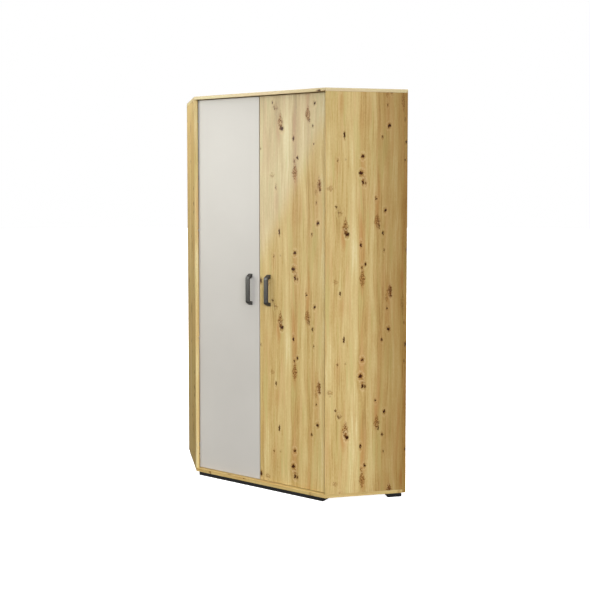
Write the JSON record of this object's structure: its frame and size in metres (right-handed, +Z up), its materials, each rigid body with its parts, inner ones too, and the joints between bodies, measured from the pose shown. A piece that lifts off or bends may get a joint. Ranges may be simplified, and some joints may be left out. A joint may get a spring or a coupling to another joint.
{
  "type": "corner wardrobe",
  "caption": "Corner wardrobe on a five-sided plan: side panels square to the walls, a diagonal front with a pair of hinged doors, a low plinth, a hat shelf and a clothes rail.",
  "frame": {"origin": "on the floor, under the middle of the bounding box", "axes": "+Z up, -Y towards the user in front of the diagonal doors, +Y towards the corner of the room, +X to the right as seen from the front"},
  "size_m": [1.3436, 0.9628, 1.95],
  "materials": {
    "oak_board": "satin laminate with a knotty oak decor, upright grain",
    "pale_board": "matte laminate in a warm pale grey",
    "graphite_handle": "satin graphite coating on cast zinc",
    "black_plinth": "matte black",
    "hinge_steel": "nickel plated pressed steel",
    "rail_steel": "bright plated steel tube",
    "screw_steel": "zinc plated"
  },
  "bodies": {
    "carcass": {"top_panel": "oak_board", "bottom_panel": "oak_board", "left_side_panel": "oak_board", "right_side_panel": "oak_board", "left_back_panel": "oak_board", "right_back_panel": "oak_board", "plinth_bar": "black_plinth", "left_rear_foot": "black_plinth", "right_rear_foot": "black_plinth", "corner_foot": "black_plinth", "left_hinge_arm_1": "hinge_steel", "left_hinge_arm_2": "hinge_steel", "left_hinge_arm_3": "hinge_steel", "left_hinge_arm_4": "hinge_steel", "left_hinge_plate_1": "hinge_steel", "left_hinge_plate_2": "hinge_steel", "left_hinge_plate_3": "hinge_steel", "left_hinge_plate_4": "hinge_steel", "right_hinge_arm_1": "hinge_steel", "right_hinge_arm_2": "hinge_steel", "right_hinge_arm_3": "hinge_steel", "right_hinge_arm_4": "hinge_steel", "right_hinge_plate_1": "hinge_steel", "right_hinge_plate_2": "hinge_steel", "right_hinge_plate_3": "hinge_steel", "right_hinge_plate_4": "hinge_steel", "upper_shelf": "oak_board", "shelf_pin_1": "screw_steel", "shelf_pin_2": "screw_steel", "shelf_pin_3": "screw_steel", "shelf_pin_4": "screw_steel", "shelf_pin_5": "screw_steel", "shelf_pin_6": "screw_steel", "clothes_rail": "rail_steel", "left_rail_hanger": "rail_steel", "right_rail_hanger": "rail_steel", "left_wall_bracket": "screw_steel", "right_wall_bracket": "screw_steel"},
    "left_leaf": {"left_door": "pale_board", "left_handle": "graphite_handle", "left_handle_lower_screw": "screw_steel", "left_handle_upper_screw": "screw_steel", "left_hinge_cup_1": "hinge_steel", "left_hinge_cup_2": "hinge_steel", "left_hinge_cup_3": "hinge_steel", "left_hinge_cup_4": "hinge_steel"},
    "right_leaf": {"right_door": "oak_board", "right_handle": "graphite_handle", "right_handle_lower_screw": "screw_steel", "right_handle_upper_screw": "screw_steel", "right_hinge_cup_1": "hinge_steel", "right_hinge_cup_2": "hinge_steel", "right_hinge_cup_3": "hinge_steel", "right_hinge_cup_4": "hinge_steel"}
  },
  "joints": [
    {"name": "left_door_hinge", "type": "hinge", "parent": "carcass", "child": "left_leaf", "pos_m": [-0.36191, -0.44015, 0.985], "axis": [0, 0, -1], "range_deg": [0, 95]},
    {"name": "right_door_hinge", "type": "hinge", "parent": "carcass", "child": "right_leaf", "pos_m": [0.36191, -0.44015, 0.985], "axis": [0, 0, 1], "range_deg": [0, 95]}
  ]
}
